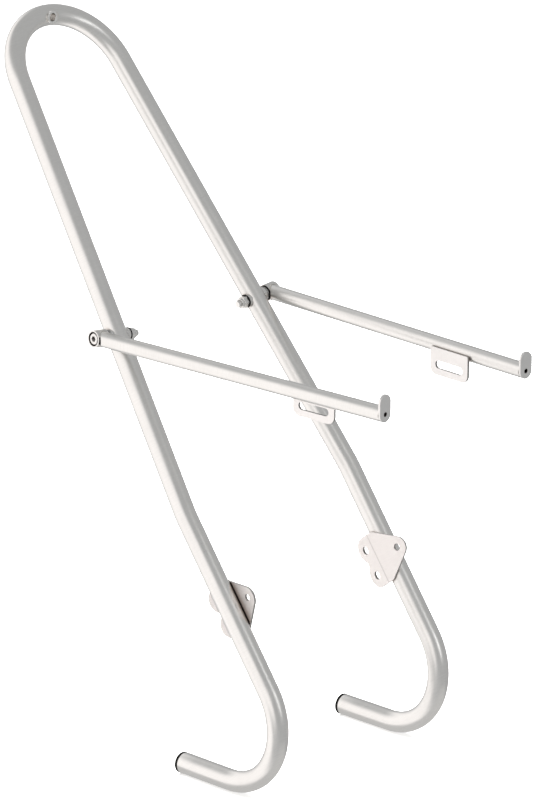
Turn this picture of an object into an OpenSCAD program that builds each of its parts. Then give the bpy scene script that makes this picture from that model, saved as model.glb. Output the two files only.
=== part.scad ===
// Ladder stabilizer: a hairpin tube frame with two hooked feet, two swinging stay arms and the
// bolted pivots, slotted tabs, end plates and bolt-on brackets that they carry.
// Z is up, the arms point along -Y almost level, and the origin is the centre of the top bush.
// Each left-hand piece is the mirror image of its right-hand twin.

/* [Frame tube] */
// Outside diameter of the bent frame tube
tube_d = 25; // [20:0.5:30]
// Wall thickness of the frame tube
tube_wall = 1.5; // [1:0.1:3]
// Radius of the top bend, on the tube's centreline
bend_r = 80; // [60:1:110]
// Angle by which each leg spreads from the middle plane
splay = 5.5; // [3:0.1:8]
// Length of the spread part of a leg, from the top bend to the kink
upper_len = 547; // [480:1:650]
// Radius of the slight kink that brings the legs parallel
kink_r = 110; // [60:5:200]
// Length of the parallel part of a leg, from the kink to the hook
lower_len = 220; // [190:1:280]

/* [Hooked feet] */
// Radius of the hook bend, on the tube's centreline
hook_r = 77; // [60:1:100]
// Angle of the hook bend
hook_bend = 126.3; // [110:0.1:140]
// Length of the straight tube after the hook bend
hook_end_len = 73; // [60:1:120]
// Thickness of the cap's rim outside the tube
cap_rim_t = 3.8; // [1:0.1:4]
// Depth of the cap's plug inside the tube
cap_plug_len = 15; // [8:1:25]

/* [Top bush] */
// Outside diameter of the bush that crosses the top bend
bush_d = 15; // [13:0.5:18]
// Bore of the top bush
bush_bore_d = 9.6; // [6:0.1:11]
// Length of the top bush, front to back
bush_len = 28; // [26:0.5:36]

/* [Stay arms] */
// Outside diameter of an arm tube
arm_d = 18; // [16:0.5:20]
// Wall thickness of an arm tube
arm_wall = 1.5; // [1:0.1:2.5]
// Length of an arm, from the pivot axis to the outer face of its end plate
arm_len = 424.5; // [390:0.5:450]
// Angle by which each arm toes in from the middle plane
toe_in = 3.2; // [0:0.1:4]
// Angle by which each arm hangs below level
droop = 0.5; // [-1:0.1:2]
// Distance down the leg from the top bend to the pivot
pivot_dist = 323.5; // [300:0.5:360]
// Distance from the leg's axis to the arm's axis, along the pivot bolt
arm_offset = 26.7; // [26:0.1:30]

/* [Pivot hardware] */
// Outside diameter of the pivot sleeve
sleeve_d = 20; // [19.5:0.1:22]
// Distance from the leg's axis to the sleeve's inner end
sleeve_in = 18.2; // [18:0.1:20]
// Length of the pivot sleeve
sleeve_len = 17.2; // [16:0.1:20]
// Depth of the counterbore that hides the bolt's head
counterbore_depth = 7; // [6:0.1:8]
// Diameter of that counterbore
counterbore_d = 16.2; // [15.5:0.1:17]
// Shank diameter of the pivot bolt
bolt_d = 8; // [6:0.5:10]
// Head diameter of the pivot bolt
bolt_head_d = 13; // [12:0.1:15]
// Width across the flats of the bolt's hexagon socket
bolt_key = 6; // [4:0.5:6]
// Distance from the leg's axis to the bolt's threaded tip
bolt_tip = 30; // [28:0.5:36]
// Width across the flats of the lock nut
nut_af = 13; // [12:0.5:15]
// Height of the lock nut's hexagon
nut_hex_h = 6.5; // [4:0.1:7]
// Height of the lock nut's round collar
nut_collar_h = 3; // [1.5:0.1:3.5]

/* [Slotted tabs] */
// Thickness of every welded plate
plate_t = 3; // [2:0.1:3.5]
// Length of a tab along its arm
tab_w = 60; // [55:1:70]
// Drop of a tab below the arm's axis
tab_drop = 32; // [30:0.5:38]
// Distance from the pivot axis to the middle of the tab
tab_dist = 314; // [280:1:340]
// Radius of a tab's lower corners
tab_corner_r = 9.5; // [5:0.5:12]
// End-to-end length of the slot
slot_len = 43.4; // [36:0.2:46]
// Width of the slot
slot_w = 9; // [6:0.5:10]
// Distance from the arm's axis down to the slot's middle
slot_drop = 19.5; // [17:0.5:20]

/* [End plates] */
// Height of an end plate's top above the arm's axis
end_plate_rise = 22.4; // [16:0.2:28]
// Diameter of the hole in an end plate
end_hole_d = 5.2; // [4:0.1:8]

/* [Brackets] */
// Distance from the kink down to the bracket's middle
bracket_dist = 116; // [100:1:130]
// Height of a bracket at its bend
bracket_h = 62; // [60:0.5:70]
// Tilt of the bracket's wing across the leg
wing_tilt = 9; // [4:0.5:12]
// Distance that the wing reaches behind its weld line before the bend starts
wing_back = 7.2; // [6:0.2:9]
// Distance from the weld line forward to the wing's hole
wing_reach = 23.5; // [21:0.5:27]
// Radius of the wing's rounded point
wing_tip_r = 12.5; // [9:0.5:14]
// Diameter of the wing's hole
wing_hole_d = 8.4; // [6:0.2:10]
// Angle of the bend between wing and flange
flange_bend = 20; // [10:1:35]
// Inside radius of that bend
flange_bend_r = 7; // [4:0.5:9]
// Distance from the bend back to the flange's holes
flange_reach = 14.3; // [12:0.1:18]
// Distance between the flange's two holes
flange_pitch = 32; // [30:0.5:34]
// Diameter of each flange hole
flange_hole_d = 10; // [8:0.2:12]
// Radius of the hollow between the flange's two lobes
flange_neck_r = 5.3; // [4:0.1:8]

/* [Hidden] */
$fn = 64;

// Colours
satin = [0.80, 0.79, 0.77];
plate_satin = [0.86, 0.84, 0.82];
zinc = [0.70, 0.70, 0.69];
black = [0.05, 0.05, 0.05];
nylon = [0.82, 0.80, 0.74];

// Radii, and the small gaps that fits and booleans need
tube_r = tube_d / 2;
arm_r = arm_d / 2;
bolt_r = bolt_d / 2;
sleeve_r = sleeve_d / 2;
over = 1;               // overlap that lets a cutter pass right through
running_gap = 0.05;     // radial clearance of a bush on the bolt
face_gap = 0.2;         // gap between faces that turn against each other
clearance_gap = 0.2;    // radial clearance of a hole round the bolt's shank

// The frame leans back by this angle, so that the hooks' ends are level
lean = hook_bend - 90;

// Corner where the spread leg meets the parallel leg, in the plane of the frame
leg_x = bend_r * cos(splay) + upper_len * sin(splay);
kink_z = bend_r * (sin(splay) - 1) - upper_len * cos(splay);
kink_cut = kink_r * tan(splay / 2);

// Point where the arm's axis crosses the pivot axis, first in the plane of the frame
arm_cross_x = (bend_r + arm_offset) * cos(splay) + pivot_dist * sin(splay);
arm_cross_z = (bend_r + arm_offset) * sin(splay) - bend_r - pivot_dist * cos(splay);

// Stations along the pivot bolt, measured outward from the leg's axis
sleeve_out = sleeve_in + sleeve_len;
counterbore_floor = sleeve_out - counterbore_depth;
head_in = counterbore_floor + face_gap;
head_sink = 0.4;        // depth of the head below the sleeve's outer end
head_chamfer = 0.6;
head_out = sleeve_out - head_sink;
washer_t = 1.4;
washer_in = sleeve_in - face_gap - washer_t;
spacer_d = 17;
friction_washer_d = 17.8;
sleeve_bore_d = 12;
groove_step = 1.3;
groove_w = 0.5;
groove_depth = 0.5;

// Stations on the nut's side, measured inward from the leg's axis
nut_spacer_out = tube_r + 2.7;
nut_spacer_d = 15;
nut_washer_out = nut_spacer_out + washer_t;
nut_washer_d = 16;
nut_top = nut_washer_out + nut_hex_h + nut_collar_h;
insert_d = 10.6;
insert_t = 1.8;
nut_collar_d = nut_af - 1.2;
insert_depth = 0.6;     // depth of the nylon insert below the collar's top
insert_out = insert_depth - nut_top;
insert_lip = 0.7;       // width of the collar's lip over the insert
nut_chamfer = 0.4;
collar_chamfer = 0.8;
collar_overlap = 0.5;
key_depth = 4.2;
thread_pitch = 1.25;
thread_depth = 0.5;
tip_chamfer = 1;
tip_taper = 0.7;        // radius lost over the chamfer at the tip

// Hollow in the side of the arm tube's coped end, which leaves a slim gap beside the sleeve
cope_gap = 1.3;
cope_r = 7;

// Steps in a round stretch of an outline
arc_steps = 24;

// Bands round the ends of the frame tube's bends
band_len = 1.2;
band_rise = 0.05;

// Places on the plates
end_plate_round_rise = end_plate_rise - arm_r;
tab_top_r = 1.5;
wing_edge = 4;          // length of the wing's straight edge before its rounded corner
wing_corner_r = 6;
wing_hole_x = wing_back + wing_reach;
lobe_r = (bracket_h - flange_pitch) / 2;
neck_x = flange_reach + sqrt(pow(lobe_r + flange_neck_r, 2) - pow(flange_pitch / 2, 2));

// Fits of the end cap
cap_gap = 0.05;
cap_rim_inset = 0.1;
cap_wall = 2;
cap_rib_t = 1.6;
cap_rib_step = 4;
cap_rib_h = 0.6;

// ---- Frames of reference -------------------------------------------------------------------

// Draws a right-hand piece on side 1, or its mirror image on side -1
module on_side(side) {
    if (side > 0) children();
    else mirror([1, 0, 0]) children();
}

// From the plane of the frame, X across and Z up the legs, to the level position
module leaned() {
    rotate([-lean, 0, 0]) children();
}

// On the right leg's spread part: Z runs up the leg's axis, and X outward along the bolt
module on_upper_leg(distance) {
    translate([0, 0, -bend_r]) rotate([0, -splay, 0]) translate([bend_r, 0, -distance]) children();
}

// On the right leg's parallel part: Z runs up the leg's axis
module on_lower_leg(distance) {
    translate([leg_x, 0, kink_z - distance]) children();
}

// In the plane of the right hook's bend: the bend turns about Z, from X towards Y
module in_hook_bend() {
    on_lower_leg(lower_len) translate([0, hook_r, 0]) rotate([0, 90, 0]) rotate([0, 0, -90]) children();
}

// At the end of the hook's bend: Z runs along the tube, towards its open end
module on_hook_end(distance) {
    in_hook_bend() rotate([0, 0, hook_bend]) translate([hook_r, 0, 0]) rotate([-90, 0, 0])
        translate([0, 0, distance]) children();
}

// On the right pivot's axis: Z runs outward along the bolt, from the leg's axis
module on_pivot() {
    leaned() on_upper_leg(pivot_dist) rotate([0, 90, 0]) children();
}

// On the right arm: -Y runs along the arm's axis from the pivot, and Z is square to it, upward
module on_arm() {
    leaned() translate([arm_cross_x, 0, arm_cross_z]) rotate([lean + droop, 0, 0])
        rotate([0, 0, -toe_in]) children();
}

// On the right bracket's wing, at the middle of the line where it meets the tube
module on_wing() {
    leaned() on_lower_leg(bracket_dist) rotate([0, 0, wing_tilt]) children();
}

// On the bracket's flange, at the centre of the bend between wing and flange
module on_flange() {
    on_wing() translate([flange_bend_r - tube_r, wing_back, 0]) rotate([0, 0, -flange_bend]) children();
}

// ---- Shared shapes -------------------------------------------------------------------------

// Points along a round stretch of an outline
function arc(centre, radius, from, to) =
    [for (step = [0 : arc_steps]) let (at = from + (to - from) * step / arc_steps)
        centre + radius * [cos(at), sin(at)]];

// Part of a torus about Z, from angle start over angle sweep
module elbow(radius, section_r, start, sweep) {
    rotate([0, 0, start]) rotate_extrude(angle = sweep, $fn = 128) translate([radius, 0]) circle(section_r);
}

// A plate in the YZ plane whose outline is drawn with X forward and Y up, thickened towards -X
module upright_plate(thickness) {
    rotate([90, 0, -90]) linear_extrude(thickness) children();
}

// Round solid along Z between two stations
module disc(diameter, from, to) {
    translate([0, 0, from]) cylinder(d = diameter, h = to - from);
}

// ---- Frame ---------------------------------------------------------------------------------

// Faint raised band round the line where a straight stretch runs into a bend
module seam_band(rod_r) {
    translate([0, 0, -band_len / 2]) cylinder(r = rod_r + band_rise, h = band_len);
}

// Straight rod along Z between two bends, with a seam band at each end
module bar(rod_r, length) {
    translate([0, 0, band_len / 4]) cylinder(r = rod_r, h = length - band_len / 2);
    for (end = [0, length]) translate([0, 0, end]) seam_band(rod_r);
}

// One leg of the hairpin as a solid rod, with its open end carried past by extra
module leg_rod(rod_r, extra) {
    on_upper_leg(upper_len - kink_cut) bar(rod_r, upper_len - kink_cut);
    on_upper_leg(upper_len - kink_cut) translate([-kink_r, 0, 0]) rotate([90, 0, 0])
        elbow(kink_r, rod_r, -splay, splay);
    on_lower_leg(lower_len) bar(rod_r, lower_len - kink_cut);
    in_hook_bend() elbow(hook_r, rod_r, 0, hook_bend);
    on_hook_end(0) seam_band(rod_r);
    on_hook_end(band_len / 4) cylinder(r = rod_r, h = hook_end_len + extra - band_len / 4);
}

// The whole hairpin as a solid rod
module hairpin_rod(rod_r, extra) {
    translate([0, 0, -bend_r]) rotate([90, 0, 0]) elbow(bend_r, rod_r, splay, 180 - 2 * splay);
    for (side = [-1, 1]) on_side(side) leg_rod(rod_r, extra);
}

module frame_tube() {
    color(satin) difference() {
        leaned() hairpin_rod(tube_r, 0);
        leaned() hairpin_rod(tube_r - tube_wall, over);
        rotate([90, 0, 0]) cylinder(d = bush_d, h = bush_len, center = true);
        for (side = [-1, 1]) on_side(side) on_pivot()
            cylinder(r = bolt_r + clearance_gap, h = tube_d + 2 * over, center = true);
    }
}

module top_bush() {
    color(satin) rotate([90, 0, 0]) difference() {
        cylinder(d = bush_d, h = bush_len, center = true);
        cylinder(d = bush_bore_d, h = bush_len + 2 * over, center = true);
    }
}

// Plug with sealing ribs and a thin rim that covers the tube's cut end
module end_cap(side) {
    plug_r = tube_r - tube_wall - cap_gap;
    color(black) on_side(side) leaned() on_hook_end(hook_end_len) difference() {
        union() {
            cylinder(r = tube_r - cap_rim_inset, h = cap_rim_t);
            translate([0, 0, -cap_plug_len]) cylinder(r = plug_r - cap_rib_h, h = cap_plug_len);
            for (step = [1:3]) translate([0, 0, -step * cap_rib_step])
                cylinder(r = plug_r, h = cap_rib_t);
        }
        translate([0, 0, -cap_plug_len - over])
            cylinder(r = plug_r - cap_rib_h - cap_wall, h = cap_plug_len);
    }
}

// ---- Brackets ------------------------------------------------------------------------------

// Bent strip from which a bracket is cut, seen along the bend
module bent_strip() {
    centre = [flange_bend_r - tube_r, wing_back];
    front = -wing_reach - wing_tip_r - over;
    outward = [-cos(flange_bend), sin(flange_bend)];
    rear = centre + (flange_reach + lobe_r + over) * [sin(flange_bend), cos(flange_bend)];
    polygon(concat([[-tube_r, front]], arc(centre, flange_bend_r, 180, 180 - flange_bend),
                   [rear + flange_bend_r * outward, rear + (flange_bend_r + plate_t) * outward],
                   arc(centre, flange_bend_r + plate_t, 180 - flange_bend, 180),
                   [[-tube_r - plate_t, front]]));
}

// Area round the rounded point of the wing, which is cut away
module wing_trim() {
    half = bracket_h / 2;
    corner = [wing_edge, wing_corner_r - half];
    tip = [wing_hole_x, 0];
    slope = atan2(-corner[1], tip[0] - corner[0]) - acos((wing_corner_r - wing_tip_r) / norm(tip - corner));
    far = [wing_hole_x + wing_tip_r + 2 * over, half + over];
    polygon(concat(arc(corner, wing_corner_r, -90, slope), arc(tip, wing_tip_r, slope, -slope),
                   arc([corner[0], -corner[1]], wing_corner_r, -slope, 90),
                   [[wing_edge, far[1]], far, [far[0], -far[1]], [wing_edge, -far[1]]]));
}

// Area round the two lobes of the flange, which is cut away
module flange_trim() {
    lobe = [-flange_reach, flange_pitch / 2];
    neck = [-neck_x, 0];
    turn = atan2(lobe[1], lobe[0] - neck[0]);
    far = [-flange_reach - lobe_r - 2 * over, bracket_h / 2 + over];
    polygon(concat(arc(lobe, lobe_r, 90, 180 + turn), arc(neck, flange_neck_r, turn, -turn),
                   arc([lobe[0], -lobe[1]], lobe_r, 180 - turn, 270),
                   [[lobe[0], -far[1]], [far[0], -far[1]], far, [lobe[0], far[1]]]));
}

// Plate welded to the leg's inner side, bent so that wing and flange both turn towards the leg
module bracket(side) {
    color(plate_satin) on_side(side) difference() {
        on_wing() linear_extrude(bracket_h, center = true) bent_strip();
        on_wing() translate([over - tube_r, wing_back, 0]) upright_plate(plate_t + 2 * over) wing_trim();
        on_flange() translate([over - flange_bend_r, 0, 0]) upright_plate(plate_t + 2 * over) flange_trim();
        on_wing() translate([over - tube_r, -wing_reach, 0]) rotate([0, -90, 0])
            cylinder(d = wing_hole_d, h = plate_t + 2 * over);
        for (up = [-1, 1]) on_flange() translate([over - flange_bend_r, flange_reach, up * flange_pitch / 2])
            rotate([0, -90, 0]) cylinder(d = flange_hole_d, h = plate_t + 2 * over);
    }
}

// ---- Pivot hardware ------------------------------------------------------------------------

// Half section of the threaded tip: shallow grooves and a chamfered end
module thread_rings() {
    rings = floor((bolt_tip - nut_top - tip_chamfer) / thread_pitch);
    for (ring = [0 : 1 : rings - 1]) translate([0, 0, -bolt_tip + tip_chamfer + (ring + 0.5) * thread_pitch])
        rotate_extrude() polygon([[bolt_r - thread_depth, 0], [bolt_r + over, -thread_pitch / 2],
                                  [bolt_r + over, thread_pitch / 2]]);
}

// Round-headed bolt with a hexagon socket
module pivot_bolt(side) {
    color(zinc) on_side(side) on_pivot() difference() {
        union() {
            disc(bolt_d, -bolt_tip + tip_chamfer, head_in);
            translate([0, 0, -bolt_tip])
                cylinder(r1 = bolt_r - tip_taper, r2 = bolt_r, h = tip_chamfer);
            disc(bolt_head_d, head_in, head_out - head_chamfer);
            translate([0, 0, head_out - head_chamfer])
                cylinder(d1 = bolt_head_d, d2 = bolt_head_d - 2 * head_chamfer, h = head_chamfer);
        }
        translate([0, 0, head_out - key_depth])
            cylinder(d = bolt_key / cos(30), h = key_depth + over, $fn = 6);
        thread_rings();
    }
}

// Round spacer on the bolt whose inner end, towards the leg's axis, is cut to sit on the round leg
module saddle(diameter, from, to) {
    difference() {
        on_pivot() difference() {
            disc(diameter, from, to);
            disc(bolt_d + 2 * clearance_gap, from - over, to + over);
        }
        leaned() on_upper_leg(pivot_dist + tube_d) cylinder(r = tube_r, h = 2 * tube_d);
    }
}

// Outer spacer, with two shallow grooves round it
module saddle_spacer(side) {
    color(zinc) on_side(side) difference() {
        saddle(spacer_d, 0, washer_in);
        for (groove = [1, 2]) on_pivot() translate([0, 0, washer_in - groove * groove_step]) difference() {
            cylinder(d = spacer_d + over, h = groove_w);
            translate([0, 0, -over]) cylinder(d = spacer_d - 2 * groove_depth, h = 3 * over);
        }
    }
}

module friction_washer(side) {
    color(black) on_side(side) on_pivot() difference() {
        disc(friction_washer_d, washer_in, washer_in + washer_t);
        disc(bolt_d + 2 * clearance_gap, washer_in - over, sleeve_in);
    }
}

// Inner spacer, between the leg and the washer under the nut
module nut_spacer(side) {
    color(zinc) on_side(side) saddle(nut_spacer_d, -nut_spacer_out, 0);
}

module nut_washer(side) {
    color(black) on_side(side) on_pivot() difference() {
        disc(nut_washer_d, -nut_washer_out, -nut_spacer_out);
        disc(bolt_d + 2 * clearance_gap, -nut_washer_out - over, 0);
    }
}

// Hexagon nut with a round collar that is turned in over the nylon insert
module lock_nut(side) {
    hex_out = nut_washer_out + nut_hex_h;
    color(zinc) on_side(side) on_pivot() difference() {
        union() {
            intersection() {
                translate([0, 0, -hex_out]) cylinder(d = nut_af / cos(30), h = nut_hex_h, $fn = 6);
                translate([0, 0, -hex_out])
                    cylinder(d1 = nut_af - nut_chamfer, d2 = nut_af + 3 * nut_hex_h, h = nut_hex_h);
            }
            disc(nut_collar_d, collar_chamfer - nut_top, collar_overlap - hex_out);
            translate([0, 0, -nut_top])
                cylinder(d1 = nut_collar_d - 2 * collar_chamfer, d2 = nut_collar_d, h = collar_chamfer);
        }
        disc(bolt_d, -nut_top - over, 0);
        disc(insert_d, insert_out, insert_out + insert_t);
        disc(insert_d - 2 * insert_lip, -nut_top - over, insert_out + insert_t / 2);
    }
}

module nut_insert(side) {
    color(nylon) on_side(side) on_pivot() difference() {
        disc(insert_d, insert_out, insert_out + insert_t);
        disc(bolt_d, -nut_top - over, 0);
    }
}

// ---- Arms ----------------------------------------------------------------------------------

// Arm tube, notched at its inner end to fit round the pivot sleeve
module arm_tube(side) {
    color(satin) on_side(side) difference() {
        on_arm() rotate([90, 0, 0]) difference() {
            cylinder(r = arm_r, h = arm_len - plate_t);
            translate([0, 0, -over]) cylinder(r = arm_r - arm_wall, h = arm_len);
        }
        on_pivot() cylinder(r = sleeve_r, h = arm_offset + 3 * arm_r);
        on_arm() translate([-arm_r - over, cope_r - sleeve_r - cope_gap, 0]) rotate([0, 90, 0])
            cylinder(r = cope_r, h = arm_d + 2 * over);
    }
}

// Short sleeve that turns on the pivot bolt, counterbored for the bolt's head
module pivot_sleeve(side) {
    color(satin) on_side(side) on_pivot() difference() {
        disc(sleeve_d, sleeve_in, sleeve_out);
        disc(sleeve_bore_d, sleeve_in - over, sleeve_out);
        disc(counterbore_d, counterbore_floor, sleeve_out + over);
    }
}

module sleeve_bush(side) {
    color(nylon) on_side(side) on_pivot() difference() {
        disc(sleeve_bore_d, sleeve_in, counterbore_floor);
        disc(bolt_d + 2 * running_gap, sleeve_in - over, counterbore_floor + over);
    }
}

module tab_outline() {
    low = tab_corner_r - tab_drop;
    wide = tab_w / 2;
    slot_r = slot_w / 2;
    slot_x = slot_len / 2 - slot_r;
    difference() {
        polygon(concat(arc([wide - tab_corner_r, low], tab_corner_r, -90, 0),
                       arc([wide - tab_top_r, -tab_top_r], tab_top_r, 0, 90),
                       arc([tab_top_r - wide, -tab_top_r], tab_top_r, 90, 180),
                       arc([tab_corner_r - wide, low], tab_corner_r, 180, 270)));
        polygon(concat(arc([slot_x, -slot_drop], slot_r, -90, 90),
                       arc([-slot_x, -slot_drop], slot_r, 90, 270)));
    }
}

// Slotted tab that hangs from the inner side of its arm
module slot_tab(side) {
    color(plate_satin) on_side(side) on_arm() translate([-arm_r, -tab_dist, 0])
        upright_plate(plate_t) tab_outline();
}

// Long round plate that closes the arm's free end
module end_plate(side) {
    color(plate_satin) on_side(side) on_arm() translate([0, plate_t - arm_len, 0]) rotate([90, 0, 0])
        difference() {
            linear_extrude(plate_t)
                polygon(concat(arc([0, end_plate_round_rise], arm_r, 0, 180), arc([0, 0], arm_r, 180, 360)));
            translate([0, 0, -over]) cylinder(d = end_hole_d, h = plate_t + 2 * over);
        }
}

// ---- Nodes ---------------------------------------------------------------------------------

frame_tube();
top_bush();
end_cap(-1);  // left_end_cap
end_cap(1);  // right_end_cap
bracket(-1);  // left_bracket
bracket(1);  // right_bracket
pivot_bolt(-1);  // left_pivot_bolt
pivot_bolt(1);  // right_pivot_bolt
saddle_spacer(-1);  // left_saddle_spacer
saddle_spacer(1);  // right_saddle_spacer
friction_washer(-1);  // left_friction_washer
friction_washer(1);  // right_friction_washer
nut_spacer(-1);  // left_nut_spacer
nut_spacer(1);  // right_nut_spacer
nut_washer(-1);  // left_nut_washer
nut_washer(1);  // right_nut_washer
lock_nut(-1);  // left_lock_nut
lock_nut(1);  // right_lock_nut
nut_insert(-1);  // left_nut_insert
nut_insert(1);  // right_nut_insert
arm_tube(-1);  // left_arm_tube
arm_tube(1);  // right_arm_tube
pivot_sleeve(-1);  // left_pivot_sleeve
pivot_sleeve(1);  // right_pivot_sleeve
sleeve_bush(-1);  // left_sleeve_bush
sleeve_bush(1);  // right_sleeve_bush
slot_tab(-1);  // left_slot_tab
slot_tab(1);  // right_slot_tab
end_plate(-1);  // left_end_plate
end_plate(1);  // right_end_plate
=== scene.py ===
import math
import random

import bmesh
import bpy
from mathutils import Matrix, Vector


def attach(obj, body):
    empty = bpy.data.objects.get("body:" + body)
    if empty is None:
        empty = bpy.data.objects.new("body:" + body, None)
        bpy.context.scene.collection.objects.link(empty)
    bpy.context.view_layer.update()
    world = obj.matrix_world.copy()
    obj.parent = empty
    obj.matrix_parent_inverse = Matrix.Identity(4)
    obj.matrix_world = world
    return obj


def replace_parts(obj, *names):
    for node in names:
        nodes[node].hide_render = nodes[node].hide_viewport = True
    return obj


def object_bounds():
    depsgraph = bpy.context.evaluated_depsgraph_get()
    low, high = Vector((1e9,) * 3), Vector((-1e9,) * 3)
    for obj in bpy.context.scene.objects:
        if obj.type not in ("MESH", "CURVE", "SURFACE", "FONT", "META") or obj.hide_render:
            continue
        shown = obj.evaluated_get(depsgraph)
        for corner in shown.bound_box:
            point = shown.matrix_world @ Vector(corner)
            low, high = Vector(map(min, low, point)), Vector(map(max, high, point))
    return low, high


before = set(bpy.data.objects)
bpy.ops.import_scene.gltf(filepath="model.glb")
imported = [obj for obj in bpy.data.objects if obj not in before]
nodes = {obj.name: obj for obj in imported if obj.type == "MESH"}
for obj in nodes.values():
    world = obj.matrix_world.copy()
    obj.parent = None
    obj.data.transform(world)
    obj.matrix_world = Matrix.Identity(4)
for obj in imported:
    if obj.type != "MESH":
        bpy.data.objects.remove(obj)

cad_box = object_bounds()
random.seed(7)

MM = 0.001
SIDES = {"left": -1, "right": 1}
LOW, HIGH = Vector(cad_box[0]), Vector(cad_box[1])

# ---- Driving dimensions, in metres and radians ----------------------------------------------

TUBE_R, TUBE_WALL = 12.5 * MM, 1.5 * MM
BEND_R, KINK_R, HOOK_R = 80 * MM, 110 * MM, 77 * MM
UPPER_LEN, LOWER_LEN, HOOK_END_LEN = 547 * MM, 220 * MM, 73 * MM
SPLAY, HOOK_BEND = math.radians(5.5), math.radians(126.3)
LEAN = HOOK_BEND - math.pi / 2

BUSH_R, BUSH_LEN = 7.5 * MM, 28 * MM
ARM_R, ARM_WALL, ARM_LEN = 9 * MM, 1.5 * MM, 424.5 * MM
TOE_IN, DROOP = math.radians(3.2), math.radians(0.5)
PIVOT_DIST, ARM_OFFSET = 323.5 * MM, 26.7 * MM
SLEEVE_R = 10 * MM
COPE_R, COPE_GAP = 7 * MM, 1.3 * MM
BOLT_HOLE_R = 4.2 * MM
PLATE_T = 3 * MM
TAB_DIST, TAB_W, TAB_TOP_R = 314 * MM, 60 * MM, 1.5 * MM
BRACKET_DIST, BRACKET_H = 116 * MM, 62 * MM
WING_TILT = math.radians(9)

# Where the spread leg meets the parallel leg, in the plane of the frame
LEG_X = BEND_R * math.cos(SPLAY) + UPPER_LEN * math.sin(SPLAY)
KINK_Z = BEND_R * (math.sin(SPLAY) - 1) - UPPER_LEN * math.cos(SPLAY)
KINK_CUT = KINK_R * math.tan(SPLAY / 2)

# Where the arm's axis passes the pivot's axis
ARM_CROSS = Vector((
    (BEND_R + ARM_OFFSET) * math.cos(SPLAY) + PIVOT_DIST * math.sin(SPLAY),
    0,
    (BEND_R + ARM_OFFSET) * math.sin(SPLAY) - BEND_R - PIVOT_DIST * math.cos(SPLAY)))

# Fineness of the meshes, ripples of the weld beads and the angle above which an edge is sharp
TUBE_SIDES, ARM_SIDES, BEAD_SIDES, DRILL_SIDES = 72, 144, 12, 48
BEND_STEP, STRAIGHT_STEP = 3 * MM, 24 * MM
LIP_STEPS = 4
BEAD_PITCH = 1.7 * MM
BEAD_STEP = BEAD_PITCH / 6
SHARP = math.radians(32)

# ---- Frames of reference, for the right-hand side -------------------------------------------


def shift(x=0.0, y=0.0, z=0.0):
    return Matrix.Translation((x, y, z))


def turn(angle, axis):
    return Matrix.Rotation(angle, 4, axis)


LEANED = turn(-LEAN, "X")
MIRROR = Matrix.Diagonal((-1, 1, 1, 1))


def upper_leg(distance):
    """On the leg's spread part: Z runs up the leg and X outward along the pivot bolt."""
    return LEANED @ shift(z=-BEND_R) @ turn(-SPLAY, "Y") @ shift(x=BEND_R, z=-distance)


def lower_leg(distance):
    """On the leg's parallel part: Z runs up the leg."""
    return LEANED @ shift(x=LEG_X, z=KINK_Z - distance)


def pivot():
    """On the pivot's axis: Z runs outward along the bolt, from the leg's axis."""
    return upper_leg(PIVOT_DIST) @ turn(math.pi / 2, "Y")


def arm():
    """On the arm: -Y runs along its axis, from the pivot."""
    return LEANED @ Matrix.Translation(ARM_CROSS) @ turn(LEAN + DROOP, "X") @ turn(-TOE_IN, "Z")


def wing():
    """On the bracket's wing, at the middle of the line where it meets the leg."""
    return lower_leg(BRACKET_DIST) @ turn(WING_TILT, "Z")


def on_side(side, matrix):
    return matrix if side > 0 else MIRROR @ matrix


# ---- Materials ------------------------------------------------------------------------------


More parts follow.
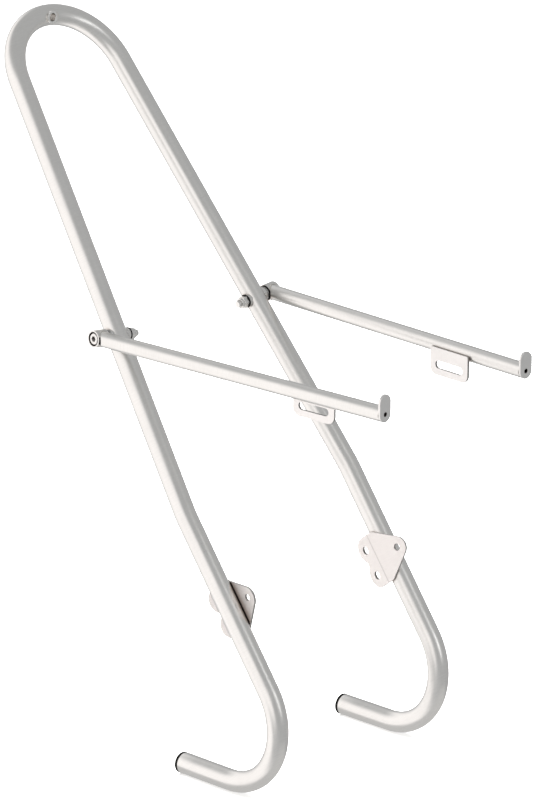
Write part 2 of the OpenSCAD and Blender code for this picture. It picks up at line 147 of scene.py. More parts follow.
class Nodes:
    """Small helper that adds shader nodes to one material and links them."""

    def __init__(self, name):
        self.material = bpy.data.materials.new(name)
        self.material.use_nodes = True
        self.tree = self.material.node_tree
        self.shader = self.tree.nodes["Principled BSDF"]
        self.position = self.add("ShaderNodeTexCoord").outputs["Object"]

    def add(self, kind, **inputs):
        node = self.tree.nodes.new(kind)
        for name, value in inputs.items():
            self.put(node.inputs[name.replace("_", " ")], value)
        return node

    def put(self, socket, value):
        if isinstance(value, bpy.types.NodeSocket):
            self.tree.links.new(value, socket)
        else:
            socket.default_value = value

    def math(self, operation, a, b, clamp=False):
        node = self.tree.nodes.new("ShaderNodeMath")
        node.operation, node.use_clamp = operation, clamp
        self.put(node.inputs[0], a)
        self.put(node.inputs[1], b)
        return node.outputs[0]

    def spread(self, value, low, high, to_low=0.0, to_high=1.0):
        """Maps value from low..high to to_low..to_high, with soft ends."""
        node = self.tree.nodes.new("ShaderNodeMapRange")
        node.interpolation_type = "SMOOTHSTEP"
        for index, item in enumerate((value, low, high, to_low, to_high)):
            self.put(node.inputs[index], item)
        return node.outputs[0]

    def blend(self, factor, a, b):
        node = self.tree.nodes.new("ShaderNodeMix")
        node.data_type = "RGBA"
        self.put(node.inputs["Factor"], factor)
        self.put(node.inputs["A"], a)
        self.put(node.inputs["B"], b)
        return node.outputs["Result"]

    def noise(self, scale, turned=(0.0, 0.0, 0.0), stretch=(1.0, 1.0, 1.0), detail=3.0):
        """Noise whose grain is stretched along the turned axes; scale is in waves per metre."""
        place = self.tree.nodes.new("ShaderNodeMapping")
        place.vector_type = "TEXTURE"
        self.put(place.inputs["Vector"], self.position)
        place.inputs["Rotation"].default_value = turned
        place.inputs["Scale"].default_value = stretch
        node = self.add("ShaderNodeTexNoise", Vector=place.outputs[0], Scale=scale, Detail=detail)
        return node.outputs["Fac"]

    def edges(self, radius):
        """1 along sharp edges and 0 on flats, from how far a bevelled normal turns."""
        bevel = self.tree.nodes.new("ShaderNodeBevel")
        bevel.samples = 4
        bevel.inputs["Radius"].default_value = radius
        plain = self.tree.nodes.new("ShaderNodeNewGeometry")
        dot = self.tree.nodes.new("ShaderNodeVectorMath")
        dot.operation = "DOT_PRODUCT"
        self.put(dot.inputs[0], bevel.outputs["Normal"])
        self.put(dot.inputs[1], plain.outputs["Normal"])
        return self.spread(self.math("SUBTRACT", 1.0, dot.outputs["Value"]), 0.004, 0.05)

    def crevices(self, reach, low=0.30, high=0.72):
        """Mask for painted shade: 1 deep in gaps and bores and 0 in the open, from how much is blocked
        within reach.

        It fades out near the floor, so that the floor doesn't count as the far side of a gap.
        """
        node = self.tree.nodes.new("ShaderNodeAmbientOcclusion")
        node.samples = 8
        node.inputs["Distance"].default_value = reach
        height = self.add("ShaderNodeSeparateXYZ", Vector=self.position).outputs["Z"]
        off_floor = self.spread(height, LOW.z + 8 * MM, LOW.z + 24 * MM)
        blocked = self.spread(node.outputs["AO"], low, high, 1.0, 0.0)
        return self.math("MULTIPLY", blocked, off_floor)

    def facing(self, axis):
        """How squarely the surface faces along an axis, either way: 0 to 1."""
        normal = self.add("ShaderNodeNewGeometry").outputs["Normal"]
        split = self.add("ShaderNodeSeparateXYZ", Vector=normal)
        return self.math("ABSOLUTE", split.outputs[axis], 0.0)

    def cut_edges(self):
        """1 on the cut edges of an upright plate, which face away from the X axis, else 0: the mask of
        the painted shade on them.
        """
        return self.spread(self.facing("X"), 0.35, 0.75, 1.0, 0.0)

    def bend_shade_mask(self):
        """1 along the bend of an upright plate, where it turns through the X axis, else 0: the mask of
        the painted shade there.
        """
        off_axis = self.spread(self.facing("Y"), 0.02, 0.11, 1.0, 0.0)
        return self.math("MULTIPLY", off_axis, self.spread(self.facing("X"), 0.90, 0.97))

    def bump(self, height, distance, strength):
        node = self.add("ShaderNodeBump", Height=height, Distance=distance, Strength=strength)
        return node.outputs["Normal"]

    def surface(self, **inputs):
        for name, value in inputs.items():
            self.put(self.shader.inputs[name.replace("_", " ")], value)
        return self.material


def colour(r, g, b):
    return (r, g, b, 1.0)


def tinted(base, amount):
    """Base colour made darker, or lighter up to white."""
    return colour(*(min(1.0, channel * amount) for channel in base))


# Colours of painted shade: near black deep in gaps and bores, soft brown near parts that touch
CREVICE_SHADE = colour(0.030, 0.021, 0.017)
CONTACT_SHADE = colour(0.56, 0.46, 0.40)

# Brush lines run round each tube, so the noise is squeezed along the tube's own axis
ROUND = (14.0, 14.0, 1.0)
ALONG_LEG, ALONG_ARM, ACROSS = (-LEAN, 0.0, 0.0), (math.pi / 2, 0.0, 0.0), (0.0, math.pi / 2, 0.0)


def brushed_metal(name, base, rough, grain_turn, worn=0.0, gap_reach=3 * MM, metallic=1.0,
                  cut_edge_shade=None, shade_bend=False):
    """Satin metal: fine brush lines, faint clouds, handling marks, painted highlights on its rims, and
    painted shade in its crevices, on its cut edges and along its bend.
    """
    n = Nodes(name)
    lines = n.noise(2200.0, grain_turn, ROUND, detail=4.0)
    hairs = n.noise(900.0, grain_turn, ROUND, detail=2.0)
    clouds = n.noise(22.0, detail=4.0)
    smears = n.noise(70.0, grain_turn, (1.0, 1.0, 3.0), detail=3.0)
    grain = n.math("ADD", n.math("MULTIPLY", lines, 0.6), n.math("MULTIPLY", hairs, 0.4))
    rims = n.edges(0.5 * MM)

    tone = n.blend(n.spread(grain, 0.30, 0.70), tinted(base, 0.955), tinted(base, 1.03))
    tone = n.blend(n.spread(clouds, 0.35, 0.70, 0.0, 0.25), tone, tinted(base, 0.93))
    # Painted highlight: lighter colour along the rounded rims
    tone = n.blend(n.math("MULTIPLY", rims, 0.5), tone, tinted(base, 1.10))
    # Painted shade: darker colour on the plate's cut edges, from which way they face
    if cut_edge_shade:
        tone = n.blend(n.cut_edges(), tone, colour(*cut_edge_shade))
    # Painted shade: a darker line along the plate's bend
    if shade_bend:
        tone = n.blend(n.math("MULTIPLY", n.bend_shade_mask(), 0.45), tone, tinted(base, 0.45))
    # Painted shade: soft brown near other parts, and near black in gaps and bores
    tone = n.blend(n.math("MULTIPLY", n.crevices(8 * MM, 0.25, 0.85), 0.80), tone, CONTACT_SHADE)
    tone = n.blend(n.crevices(gap_reach), tone, CREVICE_SHADE)

    roughness = n.math("ADD", rough - 0.10, n.math("MULTIPLY", grain, 0.10))
    roughness = n.math("ADD", roughness, n.spread(smears, 0.35, 0.75, 0.0, 0.07 + worn))
    roughness = n.math("SUBTRACT", roughness, n.math("MULTIPLY", rims, 0.06), clamp=True)
    return n.surface(Base_Color=tone, Roughness=roughness, Metallic=metallic,
                     Normal=n.bump(grain, 0.01 * MM, 0.25))


def weld_metal(name, base):
    """Weld bead: duller than the tube, with fine pits, a faint straw tint and painted shade where it
    runs into gaps.
    """
    n = Nodes(name)
    pits = n.noise(1500.0, detail=4.0)
    heat = n.noise(90.0, detail=2.0)
    straw = colour(base[0] * 0.95, base[1] * 0.90, base[2] * 0.80)
    tone = n.blend(n.spread(heat, 0.35, 0.70, 0.0, 0.5), colour(*base), straw)
    tone = n.blend(n.spread(pits, 0.52, 0.75, 0.0, 0.5), tone, tinted(base, 0.62))
    # Painted shade in the gaps beside the bead
    tone = n.blend(n.crevices(3 * MM, 0.35, 0.85), tone, CREVICE_SHADE)
    return n.surface(Base_Color=tone, Roughness=n.spread(pits, 0.3, 0.8, 0.30, 0.52),
                     Metallic=1.0, Normal=n.bump(pits, 0.06 * MM, 0.5))


def zinc_metal(name, base):
    """Zinc plating: semi-bright, with a fine mottle, fine marks in its surface, painted highlights on
    its edges and painted shade in its crevices.
    """
    n = Nodes(name)
    mottle = n.noise(420.0, detail=5.0)
    marks = n.noise(1600.0, detail=2.0)
    tone = n.blend(n.spread(mottle, 0.35, 0.70), tinted(base, 0.88), colour(*base))
    # Painted highlight: lighter colour along the edges
    tone = n.blend(n.math("MULTIPLY", n.edges(0.3 * MM), 0.6), tone, tinted(base, 1.2))
    # Painted shade in gaps and bores
    tone = n.blend(n.crevices(5 * MM, 0.25, 0.62), tone, CREVICE_SHADE)
    return n.surface(Base_Color=tone, Roughness=n.spread(mottle, 0.3, 0.75, 0.22, 0.38),
                     Metallic=1.0, Normal=n.bump(marks, 0.02 * MM, 0.4))


def plastic(name, base, rough, worn):
    """Moulded plastic: fine orange peel, with paler rubbed edges."""
    n = Nodes(name)
    peel = n.noise(1300.0, detail=3.0)
    dust = n.noise(160.0, detail=4.0)
    tone = n.blend(n.spread(dust, 0.45, 0.80, 0.0, 0.5), colour(*base), colour(*worn))
    tone = n.blend(n.math("MULTIPLY", n.edges(0.4 * MM), 0.4), tone, colour(*worn))
    return n.surface(Base_Color=tone, Roughness=n.spread(dust, 0.3, 0.8, rough, rough + 0.15),
                     Specular_IOR_Level=0.12, Normal=n.bump(peel, 0.03 * MM, 0.5))


frame_metal = brushed_metal("frame_satin", (0.80, 0.79, 0.77), 0.34, ALONG_LEG, gap_reach=4.5 * MM)
arm_metal = brushed_metal("arm_satin", (0.80, 0.79, 0.77), 0.34, ALONG_ARM)
sleeve_metal = brushed_metal("sleeve_satin", (0.78, 0.77, 0.75), 0.30, ACROSS)
bush_metal = brushed_metal("bush_satin", (0.92, 0.91, 0.89), 0.30, ACROSS, gap_reach=8 * MM)
plate_metal = brushed_metal("plate_satin", (0.545, 0.515, 0.50), 0.46, ALONG_LEG, worn=0.04,
                            metallic=0.5, cut_edge_shade=(0.17, 0.165, 0.16), shade_bend=True)
tab_metal = brushed_metal("tab_satin", (0.80, 0.78, 0.765), 0.42, ALONG_ARM, worn=0.04,
                          gap_reach=4 * MM, metallic=0.92, cut_edge_shade=(0.30, 0.295, 0.285))
end_metal = brushed_metal("end_plate_satin", (0.80, 0.79, 0.775), 0.36, ACROSS, worn=0.04)
bead_metal = weld_metal("weld_bead", (0.80, 0.78, 0.75))
zinc = zinc_metal("zinc", (0.84, 0.83, 0.81))
black = plastic("black_plastic", (0.004, 0.004, 0.004), 0.60, (0.012, 0.0115, 0.011))
nylon = plastic("nylon", (0.80, 0.78, 0.72), 0.45, (0.68, 0.65, 0.58))

# ---- Pieces ---------------------------------------------------------------------------------


def add_object(name, data):
    thing = bpy.data.objects.new(name, data)
    bpy.context.scene.collection.objects.link(thing)
    return thing


def add_piece(name, mesh, body, material):
    """Puts one mesh on its CAD body, with its finish."""
    piece = add_object(name, mesh)
    mesh.materials.clear()
    mesh.materials.append(material)
    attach(piece, body)
    return piece


def shade_soft(mesh):
    """Smooth shading, with the mesh's sharp edges kept."""
    mesh.shade_smooth()
    mesh.set_sharp_from_angle(angle=SHARP)
    return mesh


def mesh_from(name, points, faces, matrix=Matrix.Identity(4)):
    """Mesh from points and faces, moved by matrix, with its normals turned outward."""
    mesh = bpy.data.meshes.new(name)
    mesh.from_pydata([matrix @ Vector(p) for p in points], [], faces)
    bm = bmesh.new()
    bm.from_mesh(mesh)
    bmesh.ops.recalc_face_normals(bm, faces=bm.faces)
    bm.to_mesh(mesh)
    bm.free()
    return mesh


def ring_faces(rings, around, closed):
    """Quads between rings of points; closed joins the last ring to the first."""
    faces = []
    for ring in range(rings if closed else rings - 1):
        here, there = ring * around, (ring + 1) % rings * around
        for i in range(around):
            j = (i + 1) % around
            faces.append((here + i, here + j, there + j, there + i))
    return faces


def spaced(middle, half, steps):
    """Evenly spaced values, from half below the middle to half above it."""
    return [middle + half * (2 * i / steps - 1) for i in range(steps + 1)]


def baked(target):
    """Mesh of an object with its modifiers applied."""
    bpy.context.view_layer.update()
    shown = target.evaluated_get(bpy.context.evaluated_depsgraph_get())
    return bpy.data.meshes.new_from_object(shown)


def frame_route():
    """Centreline of the hairpin, as (point, tangent) pairs from one open end to the other."""
    half = []

    def place(matrix):
        half.append((matrix.to_translation(), matrix.to_3x3() @ Vector((0, 0, -1))))

    def straight(line, start, end):
        """Points down the line's Z axis, from start up to end, which is left out."""
        count = round((end - start) / STRAIGHT_STEP)
        for i in range(count):
            place(line @ shift(z=-start - (end - start) * i / count))

    def bend(centre, radius, start, end):
        """Points round the centre's Y axis, from the angle start down to end, which is left out."""
        count = round(radius * (start - end) / BEND_STEP)
        for i in range(count):
            angle = start + (end - start) * i / count
            place(centre @ turn(-angle, "Y") @ shift(x=radius))

    bend(LEANED @ shift(z=-BEND_R), BEND_R, math.pi / 2, SPLAY)
    straight(upper_leg(0), 0, UPPER_LEN - KINK_CUT)
    bend(upper_leg(UPPER_LEN - KINK_CUT) @ shift(x=-KINK_R), KINK_R, 0, -SPLAY)
    straight(lower_leg(0), KINK_CUT, LOWER_LEN)
    hook = lower_leg(LOWER_LEN) @ shift(y=HOOK_R) @ turn(-math.pi / 2, "Z")
    bend(hook, HOOK_R, 0, -HOOK_BEND)
    foot = hook @ turn(HOOK_BEND, "Y") @ shift(x=HOOK_R)
    straight(foot, 0, HOOK_END_LEN)
    place(foot @ shift(z=-HOOK_END_LEN))

    other = [(MIRROR @ p, -(MIRROR.to_3x3() @ t)) for p, t in reversed(half[1:])]
    return other + half


def swept_tube(name, route, outer_r, wall, lip_r=0.5 * MM):
    """Hollow tube along route, with the outer rims of its two cut ends rounded over."""

    def lip(end, direction):
        """Rings of the rounded rim at one end, from the tube's side to its end face."""
        p, t = end
        quarter = [math.pi / 2 * i / LIP_STEPS for i in range(LIP_STEPS + 1)]
        return [(p - t * direction * lip_r * (1 - math.sin(a)), t, outer_r - lip_r * (1 - math.cos(a)))
                for a in quarter]

    rings = lip(route[0], -1)[::-1]
    rings += [(p, t, outer_r) for p, t in route[1:-1]]
    rings += lip(route[-1], 1)
    rings += [(p, t, outer_r - wall) for p, t in reversed(route)]

    points = []
    previous = rings[0][1]
    side = previous.orthogonal().normalized()
    for p, t, radius in rings:
        side = previous.rotation_difference(t) @ side
        side = (side - t * side.dot(t)).normalized()
        previous = t
        up = t.cross(side)
        for i in range(TUBE_SIDES):
            a = 2 * math.pi * i / TUBE_SIDES
            points.append(p + (side * math.cos(a) + up * math.sin(a)) * radius)
    return mesh_from(name, points, ring_faces(len(rings), TUBE_SIDES, True))


def cut(mesh, cutters):
    """Takes each round cutter, (matrix, radius, length) along its Z, out of mesh."""
    target = add_object("cut_target", mesh)
    drills = []
    for matrix, radius, length in cutters:
        bm = bmesh.new()
        bmesh.ops.create_cone(bm, cap_ends=True, segments=DRILL_SIDES, radius1=radius, radius2=radius,
                              depth=length, matrix=matrix)
        drill_mesh = bpy.data.meshes.new("drill")
        bm.to_mesh(drill_mesh)
        bm.free()
        drill = add_object("drill", drill_mesh)
        drills.append(drill)
        modifier = target.modifiers.new("cut", "BOOLEAN")
        modifier.operation, modifier.solver, modifier.object = "DIFFERENCE", "EXACT", drill
    result = baked(target)
    for item in drills + [target]:
        bpy.data.objects.remove(item)
    return result


def refine(node, body, material, round_r, segments=2):
    """Shows a copy of a CAD node, with its sharp edges rounded over, in the node's place."""
    same_place, flat = 0.002 * MM, math.radians(0.3)
    bm = bmesh.new()
    bm.from_mesh(nodes[node].data)
    bmesh.ops.remove_doubles(bm, verts=bm.verts, dist=same_place)
    bmesh.ops.dissolve_limit(bm, angle_limit=flat, verts=bm.verts, edges=bm.edges)
    name = node + "_fine"
    mesh = bpy.data.meshes.new(name)
    bm.to_mesh(mesh)
    bm.free()
    target = add_object("bevel_target", shade_soft(mesh))
    modifier = target.modifiers.new("round", "BEVEL")
    modifier.width, modifier.segments = round_r, segments
    modifier.limit_method, modifier.angle_limit = "ANGLE", SHARP
    modifier.use_clamp_overlap, modifier.harden_normals = True, True
    result = baked(target)
    bpy.data.objects.remove(target)
    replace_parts(add_piece(name, result, body, material), node)


def bead(name, route, normals, body, width, height, closed=False):
    """Rippled weld bead along route: a low rounded ridge with overlapping scallops."""
    line, lean_to = list(route), list(normals)
    if closed:
        line.append(route[0])
        lean_to.append(normals[0])
    lengths = [0.0]
    for a, b in zip(line, line[1:]):
        lengths.append(lengths[-1] + (b - a).length)
    total = lengths[-1]
    count = max(8, round(total / BEAD_STEP))
    ripples = max(1, round(total / BEAD_PITCH))
    samples = count if closed else count + 1
    phase = random.random()
    scallop_depth, wander_depth, waves, tip_len = 0.18, 0.03 if closed else 0.06, 7.3, 0.8 * width

    points, index = [], 0
    for k in range(samples):
        s = total * k / count
        while index < len(lengths) - 2 and lengths[index + 1] < s:
            index += 1
        f = (s - lengths[index]) / max(1e-9, lengths[index + 1] - lengths[index])
        p = line[index].lerp(line[index + 1], f)
        up = lean_to[index].lerp(lean_to[index + 1], f).normalized()
        across = (line[index + 1] - line[index]).cross(up).normalized()
        wave = (s / total * ripples + phase) % 1.0
        scallop = 1 - scallop_depth + scallop_depth * math.sqrt(max(0.0, 1 - (2 * wave - 1) ** 2))
        wander = 1 + wander_depth * math.sin(waves * s / BEAD_PITCH + 2 * phase)
        fade = 1.0
        if not closed:
            fade = math.sqrt(max(0.02, min(1.0, min(s, total - s) / tip_len)))
        for i in range(BEAD_SIDES):
            a = 2 * math.pi * i / BEAD_SIDES
            points.append(p + across * (width / 2 * math.cos(a) * scallop * wander * fade)
                          + up * (height * math.sin(a) * scallop * fade))
    faces = ring_faces(samples, BEAD_SIDES, closed)
    if not closed:
        faces.append(tuple(range(BEAD_SIDES - 1, -1, -1)))
        faces.append(tuple(range((samples - 1) * BEAD_SIDES, samples * BEAD_SIDES)))
    add_piece(name, shade_soft(mesh_from(name, points, faces)), body, bead_metal)


# ---- Frame ----------------------------------------------------------------------------------


def build_frame_tube():
    mesh = swept_tube("frame_tube_fine", frame_route(), TUBE_R, TUBE_WALL)
    drills = [(turn(math.pi / 2, "X"), BUSH_R, BUSH_LEN * 2)]
    for side in SIDES.values():
        drills.append((on_side(side, pivot()), BOLT_HOLE_R, TUBE_R * 3))
    mesh = shade_soft(cut(mesh, drills))
    piece = add_piece("frame_tube_fine", mesh, "frame", frame_metal)
    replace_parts(piece, "frame_tube")


def tube_depth(x, z, facing):
    """Y at which a line along Y through (x, z) leaves the top bend, on the side facing."""
    centre = LEANED @ Vector((0, 0, -BEND_R))
    axis = LEANED.to_3x3() @ Vector((0, 1, 0))
    near, far = 0.0, facing * 3 * TUBE_R

    def outside(y):
        p = Vector((x, y, z)) - centre
        height = p.dot(axis)
        return (height ** 2 + ((p - axis * height).length - BEND_R) ** 2) > TUBE_R ** 2

    halvings = 40
    for _ in range(halvings):
        middle = (near + far) / 2
        if outside(middle):
            far = middle
        else:
            near = middle
    return near


def build_bush_tacks():
    """Short welds left and right of the bush, front and back, on the round top bend."""
    tack_r, half_angle, outward = BUSH_R + 0.9 * MM, math.radians(34), 0.4
    for name, facing in (("front", -1), ("back", 1)):
        for where, middle in (("right", 0.0), ("left", math.pi)):
            route, normals = [], []
            for a in spaced(middle, half_angle, 12):
                x, z = tack_r * math.cos(a), tack_r * math.sin(a)
                route.append(Vector((x, tube_depth(x, z, facing), z)))
                normals.append(Vector((x * outward, facing * BUSH_R, z * outward)).normalized())
            bead(f"bush_tack_{name}_{where}", route, normals, "frame", 3.0 * MM, 1.3 * MM)


def build_bracket_bead(label, side):
    """Bead along the bracket's weld line, in the wedge behind the leg."""
    matrix = on_side(side, wing())
    y = 4.6 * MM
    x = -math.sqrt(TUBE_R ** 2 - y ** 2) - 0.15 * MM
    route = [matrix @ Vector((x, y, z)) for z in spaced(0.0, BRACKET_H / 2 - 3 * MM, 20)]
    up = (matrix.to_3x3() @ Vector((0.35, 1, 0))).normalized()
    bead(label + "_bracket_bead", route, [up] * len(route), "frame", 2.6 * MM, 1.1 * MM)


# ---- Arms -----------------------------------------------------------------------------------


def sleeve_reach(angle, radius, gap=0.0):
    """Distance along the right arm at which its surface line at angle leaves the sleeve."""
    into = pivot().inverted() @ arm()
    start = into @ Vector((radius * math.cos(angle), 0, radius * math.sin(angle)))
    step = into.to_3x3() @ Vector((0, -1, 0))
    a = step.x ** 2 + step.y ** 2
    b = 2 * (start.x * step.x + start.y * step.y)
    c = start.x ** 2 + start.y ** 2 - (SLEEVE_R + gap) ** 2
    return (-b + math.sqrt(b * b - 4 * a * c)) / (2 * a)


def coped_reach(angle, radius):
    """Distance along the right arm at which its coped end starts, with the hollow in each side."""
    z = radius * math.sin(angle)
    hollow = SLEEVE_R + COPE_GAP - COPE_R + math.sqrt(max(0.0, COPE_R ** 2 - z * z))
    return max(sleeve_reach(angle, radius, 0.25 * MM), hollow if abs(z) < COPE_R else 0.0)


def build_arm_tube(label, side):
    """Arm tube with a saddle-shaped inner end that wraps the sleeve."""
    name = label + "_arm_tube"
    length = ARM_LEN - PLATE_T
    stations = [0.0, 0.006, 0.014, 0.03, 0.06, 0.12, 0.25, 0.5, 0.75, 1.0]
    rings = [(f, ARM_R) for f in stations] + [(f, ARM_R - ARM_WALL) for f in reversed(stations)]
    points = []
    for f, radius in rings:
        for i in range(ARM_SIDES):
            a = 2 * math.pi * i / ARM_SIDES
            reach = coped_reach(a, radius)
            y = -(reach + (length - reach) * f)
            points.append((radius * math.cos(a), y, radius * math.sin(a)))
    faces = ring_faces(len(rings), ARM_SIDES, True)
    mesh = shade_soft(mesh_from(name + "_fine", points, faces, on_side(side, arm())))
    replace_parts(add_piece(name + "_fine", mesh, label + "_arm", arm_metal), name)


def build_sleeve_beads(label, side):
    """Two short beads on the saddle, above and below, where the arm meets the sleeve."""
    matrix = on_side(side, arm())
    for name, middle in (("top", math.pi / 2), ("bottom", -math.pi / 2)):
        route, normals = [], []
        for a in spaced(middle, math.radians(62), 24):
            x, z = ARM_R * math.cos(a), ARM_R * math.sin(a)
            route.append(matrix @ Vector((x, -sleeve_reach(a, ARM_R), z)))
            normal = matrix.to_3x3() @ Vector((math.cos(a), 0.5, math.sin(a)))
            normals.append(normal.normalized())
        bead(f"{label}_sleeve_bead_{name}", route, normals, label + "_arm", 1.8 * MM, 0.7 * MM)


def build_tab_bead(label, side):
    """Bead under the arm, in the wedge between it and the tab."""
    matrix = on_side(side, arm())
    half = TAB_W / 2 - TAB_TOP_R - 1.5 * MM
    x, z = 1.0 * MM - ARM_R, -4.6 * MM
    route = [matrix @ Vector((x, y, z)) for y in spaced(-TAB_DIST, half, 20)]
    up = (matrix.to_3x3() @ Vector((0.5, 0, -1))).normalized()
    bead(label + "_tab_bead", route, [up] * len(route), label + "_arm", 2.2 * MM, 0.9 * MM)


def build_end_bead(label, side):
    """Bead round the arm at the end plate, drawn in below, where the plate's edge is flush."""
    matrix = on_side(side, arm())
    steps, flush_below, inset = 64, -0.2, 0.6 * MM
    y = PLATE_T - ARM_LEN + 0.2 * MM
    route, normals = [], []
    for i in range(steps):
        a = 2 * math.pi * i / steps
        radius = ARM_R if math.sin(a) > flush_below else ARM_R - inset
        route.append(matrix @ Vector((radius * math.cos(a), y, radius * math.sin(a))))
        normals.append((matrix.to_3x3() @ Vector((math.cos(a), 1, math.sin(a)))).normalized())
    bead(label + "_end_bead", route, normals, label + "_arm", 1.2 * MM, 0.4 * MM, closed=True)


# ---- Build ----------------------------------------------------------------------------------

# Pieces made from their CAD nodes: kind, slot, material and rounding of the edges
ON_FRAME = (("end_cap", "black_plastic", black, 0.15 * MM),
            ("bracket", "satin_plate", plate_metal, 0.15 * MM),
            ("pivot_bolt", "zinc_fastener", zinc, 0.15 * MM),
            ("saddle_spacer", "zinc_fastener", zinc, 0.15 * MM),
            ("friction_washer", "black_plastic", black, 0.2 * MM),
            ("nut_spacer", "zinc_fastener", zinc, 0.15 * MM),
            ("nut_washer", "black_plastic", black, 0.2 * MM),
            ("lock_nut", "zinc_fastener", zinc, 0.15 * MM),
            ("nut_insert", "nylon", nylon, 0.1 * MM))
ON_ARM = (("pivot_sleeve", "satin_tube", sleeve_metal, 0.35 * MM),
          ("sleeve_bush", "nylon", nylon, 0.1 * MM),
          ("slot_tab", "satin_plate", tab_metal, 0.15 * MM),
          ("end_plate", "satin_plate", end_metal, 0.5 * MM))

build_frame_tube()
build_bush_tacks()
refine("top_bush", "frame", bush_metal, 0.5 * MM, segments=3)
for label, side in SIDES.items():
    build_bracket_bead(label, side)
    build_arm_tube(label, side)
    build_sleeve_beads(label, side)
    build_tab_bead(label, side)
    build_end_bead(label, side)
    for body, kinds in (("frame", ON_FRAME), (label + "_arm", ON_ARM)):
        for kind, slot, material, round_r in kinds:
            refine(f"{label}_{kind}", body, material, round_r)

# ---- Stage ----------------------------------------------------------------------------------

MIDDLE = (LOW + HIGH) / 2

# Directions, with the camera ahead and to the left of the object
UP, DOWN = (0, 0, 1), (0, 0, -1)
CAMERA_SIDE, CAMERA_LEFT = (-0.70, -0.70, 0.0), (-0.70, 0.70, 0.0)
FAR_BELOW = (0.65, 0.64, -0.41)


def build_floor():
    """Large pale sheet that curves up into a backdrop far behind the object."""
    half, front, back, rise_r, height, steps = 20.0, 30.0, 9.0, 2.0, 6.0, 24
    profile = [(-front, 0.0), (back - rise_r, 0.0)]
    profile += [(back - rise_r + rise_r * math.sin(a), rise_r * (1 - math.cos(a)))
                for a in (math.pi / 2 * i / steps for i in range(1, steps + 1))]
    profile += [(back, height)]
    points, faces = [], []
    for u, w in profile:
        points += [(u, -half, w), (u, half, w)]
    for i in range(len(profile) - 1):
        faces.append((2 * i, 2 * i + 2, 2 * i + 3, 2 * i + 1))
    mesh = bpy.data.meshes.new("studio_floor")
    mesh.from_pydata(points, [], faces)
    mesh.shade_smooth()
    n = Nodes("pale_floor")
    speck = n.spread(n.noise(6.0, detail=3.0), 0.3, 0.7)
    tone = n.blend(speck, colour(0.90, 0.90, 0.895), colour(0.915, 0.915, 0.91))
    mesh.materials.append(n.surface(Base_Color=tone, Roughness=0.85, Emission_Color=tone,
                                    Emission_Strength=0.5))
    floor = add_object("studio_floor", mesh)
    floor.rotation_euler = (0, 0, math.radians(45))
    floor.location = (0, MIDDLE.y, LOW.z)
    floor.visible_glossy = False


def build_floor_shade_cards():
    """Grey strips on the floor along the hooked feet, which only their reflections show: a painted
    reflection of the floor's shade under the feet.
    """
    front, back, past, width, lift = LOW.y + 0.02, -0.20, 22 * MM, 120 * MM, 0.5 * MM
    n = Nodes("floor_shade_card")
    tone = n.blend(n.noise(5.0, detail=2.0), colour(0.60, 0.595, 0.59), colour(0.66, 0.655, 0.65))
    # Painted reflection: a glowing grey that stands in for the shaded floor under the feet
    n.surface(Base_Color=colour(0, 0, 0), Roughness=0.9, Emission_Color=tone, Emission_Strength=1.0)
    for label, side in SIDES.items():
        left = side * LEG_X - TUBE_R - past
        right = left + width
        mesh = bpy.data.meshes.new(label + "_floor_shade_card")
        mesh.from_pydata([(left, front, 0), (right, front, 0), (right, back, 0), (left, back, 0)],
                         [], [(0, 1, 2, 3)])
        mesh.materials.append(n.material)
        card = add_object(label + "_floor_shade_card", mesh)
        card.location = (0, 0, LOW.z + lift)
        card.visible_camera = card.visible_diffuse = card.visible_shadow = False


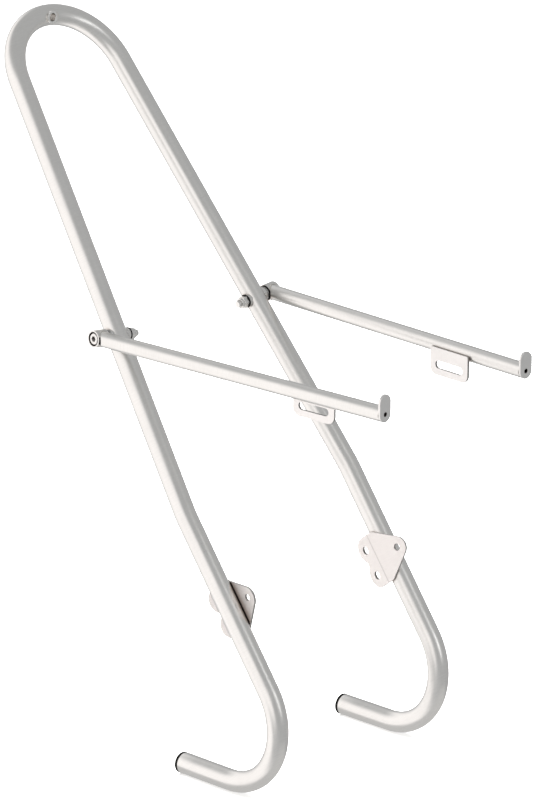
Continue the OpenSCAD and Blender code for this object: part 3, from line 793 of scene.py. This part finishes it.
def build_world():
    """Studio surround: white at the camera's left and on the ground, and grey elsewhere."""
    world = bpy.data.worlds.new("studio")
    bpy.context.scene.world = world
    world.use_nodes = True
    tree = world.node_tree
    link = tree.links.new
    coord = tree.nodes.new("ShaderNodeTexCoord")
    background = tree.nodes["Background"]

    def band(direction, low, high, to_low, to_high):
        """Soft step between two values, by how squarely a view ray runs along a direction."""
        dot = tree.nodes.new("ShaderNodeVectorMath")
        dot.operation = "DOT_PRODUCT"
        link(coord.outputs["Generated"], dot.inputs[0])
        dot.inputs[1].default_value = Vector(direction).normalized()
        spread = tree.nodes.new("ShaderNodeMapRange")
        spread.interpolation_type = "SMOOTHSTEP"
        link(dot.outputs["Value"], spread.inputs[0])
        for index, item in enumerate((low, high, to_low, to_high)):
            spread.inputs[index + 1].default_value = item
        return spread.outputs[0]

    def combine(operation, a, b):
        node = tree.nodes.new("ShaderNodeMath")
        node.operation = operation
        link(a, node.inputs[0])
        if isinstance(b, float):
            node.inputs[1].default_value = b
        else:
            link(b, node.inputs[1])
        return node.outputs[0]

    wall = combine("MULTIPLY", band(CAMERA_LEFT, 0.05, 0.32, 0.0, 1.0), band(UP, 0.45, 0.80, 1.0, 0.0))
    ground = combine("MULTIPLY", band(DOWN, 0.10, 0.45, 0.0, 1.0),
                     band(CAMERA_LEFT, -0.55, -0.05, 0.0, 1.0))
    bright = combine("MAXIMUM", wall, ground)
    bright = combine("MULTIPLY", bright, band(FAR_BELOW, 0.55, 0.85, 1.0, 0.0))
    low_front = combine("MULTIPLY", band(CAMERA_SIDE, 0.35, 0.65, 0.0, -0.9),
                        band(DOWN, 0.08, 0.24, 0.0, 1.0))
    bright = combine("MULTIPLY", bright, combine("ADD", low_front, 1.0))
    strength = combine("ADD", combine("MULTIPLY", bright, 0.78), 0.49)
    link(strength, background.inputs["Strength"])

    tint = tree.nodes.new("ShaderNodeMix")
    tint.data_type = "RGBA"
    link(bright, tint.inputs["Factor"])
    tint.inputs["A"].default_value = colour(0.985, 0.995, 1.0)
    tint.inputs["B"].default_value = colour(1.0, 0.970, 0.958)
    link(tint.outputs["Result"], background.inputs["Color"])


def add_area(name, offset, size, power, in_reflections):
    """Rectangular light, placed from the middle of the object and aimed at it."""
    data = bpy.data.lights.new(name, "AREA")
    data.shape = "RECTANGLE"
    data.size, data.size_y = size
    data.energy = power
    light = add_object(name, data)
    location = MIDDLE + Vector(offset)
    light.location = location
    light.rotation_euler = (MIDDLE - location).to_track_quat("-Z", "Y").to_euler()
    light.visible_glossy = in_reflections


def build_camera():
    """Long lens at the photograph's angle, aimed at the middle of the object."""
    azimuth, elevation, roll = math.radians(-45.22), math.radians(17.10), math.radians(-0.13)
    distance, aim = 5.430, Vector((0.0174, -0.3470, -0.3982))
    level = math.cos(elevation)
    away = Vector((math.sin(azimuth) * level, -math.cos(azimuth) * level, math.sin(elevation)))
    data = bpy.data.cameras.new("camera")
    data.sensor_width = 36.0
    data.lens = 213.68
    data.clip_end = 60.0
    camera = add_object("camera", data)
    facing = (-away).to_track_quat("-Z", "Y").to_matrix().to_4x4()
    camera.matrix_world = Matrix.Translation(aim + away * distance) @ facing @ turn(roll, "Z")
    bpy.context.scene.camera = camera


build_floor()
build_floor_shade_cards()
build_world()
build_camera()
add_area("overhead", (0, 0, 3.0), (4.0, 4.0), 430.0, in_reflections=False)
add_area("strip", (0.4, -2.6, 0.9), (0.7, 1.8), 5.0, in_reflections=True)
bpy.context.scene.view_settings.view_transform = "Standard"
